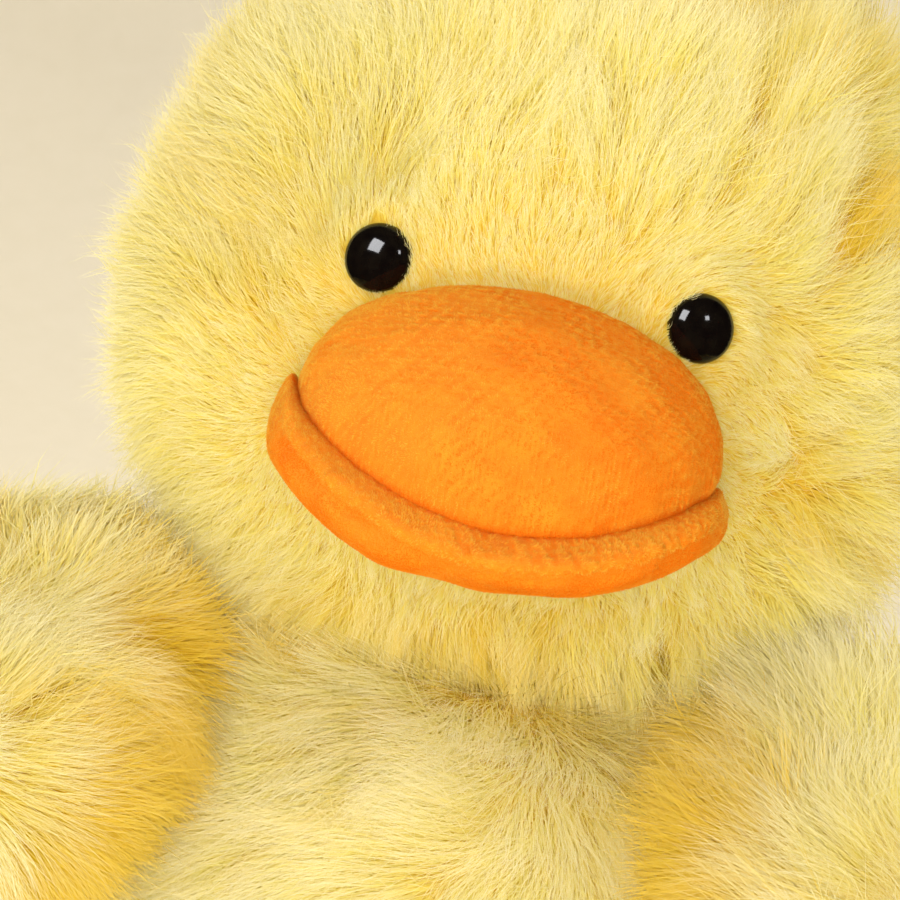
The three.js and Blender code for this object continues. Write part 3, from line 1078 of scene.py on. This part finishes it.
def ripple_height(roots):
    """Fine level ripples on the bill that turn upright towards its lower edge."""
    low = ramp(eye_middle[2] - roots[:, 2], 16 * MM, 26 * MM)
    level = wander(roots * [0.3, 0.3, 1], 0.8 * MM, 31, waves=9)
    upright = wander(roots * [1, 0.3, 0.3], 0.8 * MM, 32, waves=9)
    strength = 0.6 + 0.25 * wander(roots, 12 * MM, 36)
    return 0.14 * MM * strength * np.tanh(1.3 * (level * (1 - low) + upright * low))


def pebble_height(roots):
    """The lip's band is pebbled, most on the duck's left. Its underside is smooth."""
    rough = 0.35 + 0.65 * ramp(roots[:, 0], -25 * MM, 5 * MM)
    return 0.13 * MM * (1 - under_lip(roots)) * rough * np.tanh(1.3 * wander(roots, 1.5 * MM, 33, waves=9))


def add_bill_nap(upper, lower):
    upper_tree, lower_tree = tree_of(upper), tree_of(lower)

    def ripples(roots):
        # painted shade: darker towards the duck's left, turned from the window lamp, and in the fold by the
        # lip
        painted_shade = 0.33 * ramp(roots[:, 0], -35 * MM, 10 * MM) + 0.5 * near_crease(roots, lower_tree)
        # the ripples' crests are painted lighter and their hollows darker: painted highlight and shade
        return ripple_height(roots) * 3 / MM - painted_shade

    def pebbles(roots):
        # painted shade: darker on the underside below the seam and in the fold by the upper bill
        painted_shade = 0.02 + 0.45 * under_lip(roots) + 0.4 * near_crease(roots, upper_tree)
        # the pebbles' tops are painted lighter and the gaps between them darker: painted highlight and shade
        return pebble_height(roots) * 3.5 / MM - painted_shade

    add_nap(upper, rides("head"), BILL_NAP, 0.45 * MM, ripples, ripple_height)
    add_nap(lower, place_lip, BILL_NAP, 0.55 * MM, pebbles, pebble_height)


# Stage, lamps and camera


def add_stage():
    """A floor that bends up into a back wall."""
    reach, floor_end, bend, height, steps = 8.0, 1.2, 0.6, 3.0, 12
    profile = [(-reach, 0.0), (floor_end, 0.0)]
    for i in range(1, steps + 1):
        angle = math.pi / 2 * i / steps
        profile.append((floor_end + bend * math.sin(angle), bend * (1 - math.cos(angle))))
    profile.append((floor_end + bend, height))
    mesh = bmesh.new()
    rows = [[mesh.verts.new((x, y, z)) for y, z in profile] for x in (-reach, reach)]
    for i in range(len(profile) - 1):
        mesh.faces.new((rows[0][i], rows[1][i], rows[1][i + 1], rows[0][i + 1]))
    data = bpy.data.meshes.new("stage")
    mesh.to_mesh(data)
    mesh.free()
    data.shade_smooth()
    data.materials.append(stage_material())
    obj = bpy.data.objects.new("stage", data)
    obj.visible_glossy = False
    bpy.context.scene.collection.objects.link(obj)


def add_lamp(name, turn, rise, distance, size, power, colour, mirrored=False, target=eye_middle):
    """A soft lamp that faces its target.

    turn is in degrees to the picture's right, rise in degrees above the horizon, power in watts.
    """
    lamp = bpy.data.lights.new(name, "AREA")
    lamp.shape = "RECTANGLE"
    lamp.size, lamp.size_y = size
    lamp.energy = power
    lamp.color = colour
    obj = bpy.data.objects.new(name, lamp)
    obj.visible_glossy = mirrored  # whether shiny pieces show it
    turn, rise = math.radians(turn), math.radians(rise)
    way = Vector((math.sin(turn) * math.cos(rise), -math.cos(turn) * math.cos(rise), math.sin(rise)))
    obj.location = Vector(target) + way * distance
    obj.rotation_mode = "QUATERNION"
    obj.rotation_quaternion = way.to_track_quat("Z", "Y")
    bpy.context.scene.collection.objects.link(obj)
    return obj


def add_lights():
    daylight, warm = (0.97, 0.98, 1.0), (1.0, 0.96, 0.89)
    add_lamp("window", -50, 30, 1.0, (0.9, 0.9), 1.92, daylight)
    add_lamp("front_fill", -5, 10, 1.6, (1.6, 0.5), 10.8, warm)
    add_lamp("table_bounce", -5, -18, 0.55, (0.6, 0.1), 0.85, warm)
    add_lamp("back_fill", 165, 32, 1.4, (1.4, 1.0), 7, warm)
    add_lamp("wall_wash", 0, 35, 1.2, (2.0, 0.4), 1.9, warm, target=(0, 1.7, 0.3))
    for name, turn, size, power in (("window_glint", -42, 0.5, 34), ("side_glint", 40, 0.16, 3.4)):
        glint = add_lamp(name, turn, 33, 1.0, (size, size), power, daylight, mirrored=True)
        glint.visible_diffuse = False


def add_sky():
    """A soft sky that lights the duck, and a plain wall's colour where the camera sees past the stage."""
    world = bpy.data.worlds.new("soft_sky")
    bpy.context.scene.world = world
    world.use_nodes = True
    nodes, links = world.node_tree.nodes, world.node_tree.links
    sky = nodes["Background"]
    sky.inputs["Color"].default_value = (1.0, 0.97, 0.91, 1)
    sky.inputs["Strength"].default_value = 0.62
    far_wall = nodes.new("ShaderNodeBackground")
    far_wall.inputs["Color"].default_value = (0.74, 0.62, 0.42, 1)
    seen = nodes.new("ShaderNodeLightPath")
    mix = nodes.new("ShaderNodeMixShader")
    links.new(seen.outputs["Is Camera Ray"], mix.inputs["Fac"])
    links.new(sky.outputs["Background"], mix.inputs[1])
    links.new(far_wall.outputs["Background"], mix.inputs[2])
    links.new(mix.outputs["Shader"], nodes["World Output"].inputs["Surface"])
    world.cycles_visibility.glossy = False


def add_camera():
    camera = bpy.data.cameras.new("camera")
    camera.sensor_width = 36
    camera.lens = camera.sensor_width / 2 / math.tan(VIEW_ANGLE / 2)
    obj = bpy.data.objects.new("camera", camera)
    aim = Vector(eye_middle) + Vector((AIM_ASIDE, 0, -AIM_BELOW))
    back = Vector((0, -math.cos(VIEW_FALL), math.sin(VIEW_FALL)))
    obj.location = aim + back * EYE_TO_LENS
    obj.rotation_mode = "QUATERNION"
    obj.rotation_quaternion = back.to_track_quat("Z", "Y") @ Quaternion((0, 0, 1), VIEW_LEAN)
    bpy.context.scene.collection.objects.link(obj)
    bpy.context.scene.camera = obj
    bpy.context.scene.view_settings.view_transform = "Standard"


def main():
    add_camera()
    add_lights()
    add_sky()
    add_stage()
    for hand in eyes:
        add_eye(hand)
    upper, lower = add_bill()
    add_head(tree_of(upper, lower))
    add_neck()
    add_body()
    for hand in eyes:
        add_wing(hand)
        foot = add_foot(hand)
        add_nap(foot, place_foot(), FOOT_NAP, 0.8 * MM)
    add_tail()
    add_bill_nap(upper, lower)


main()
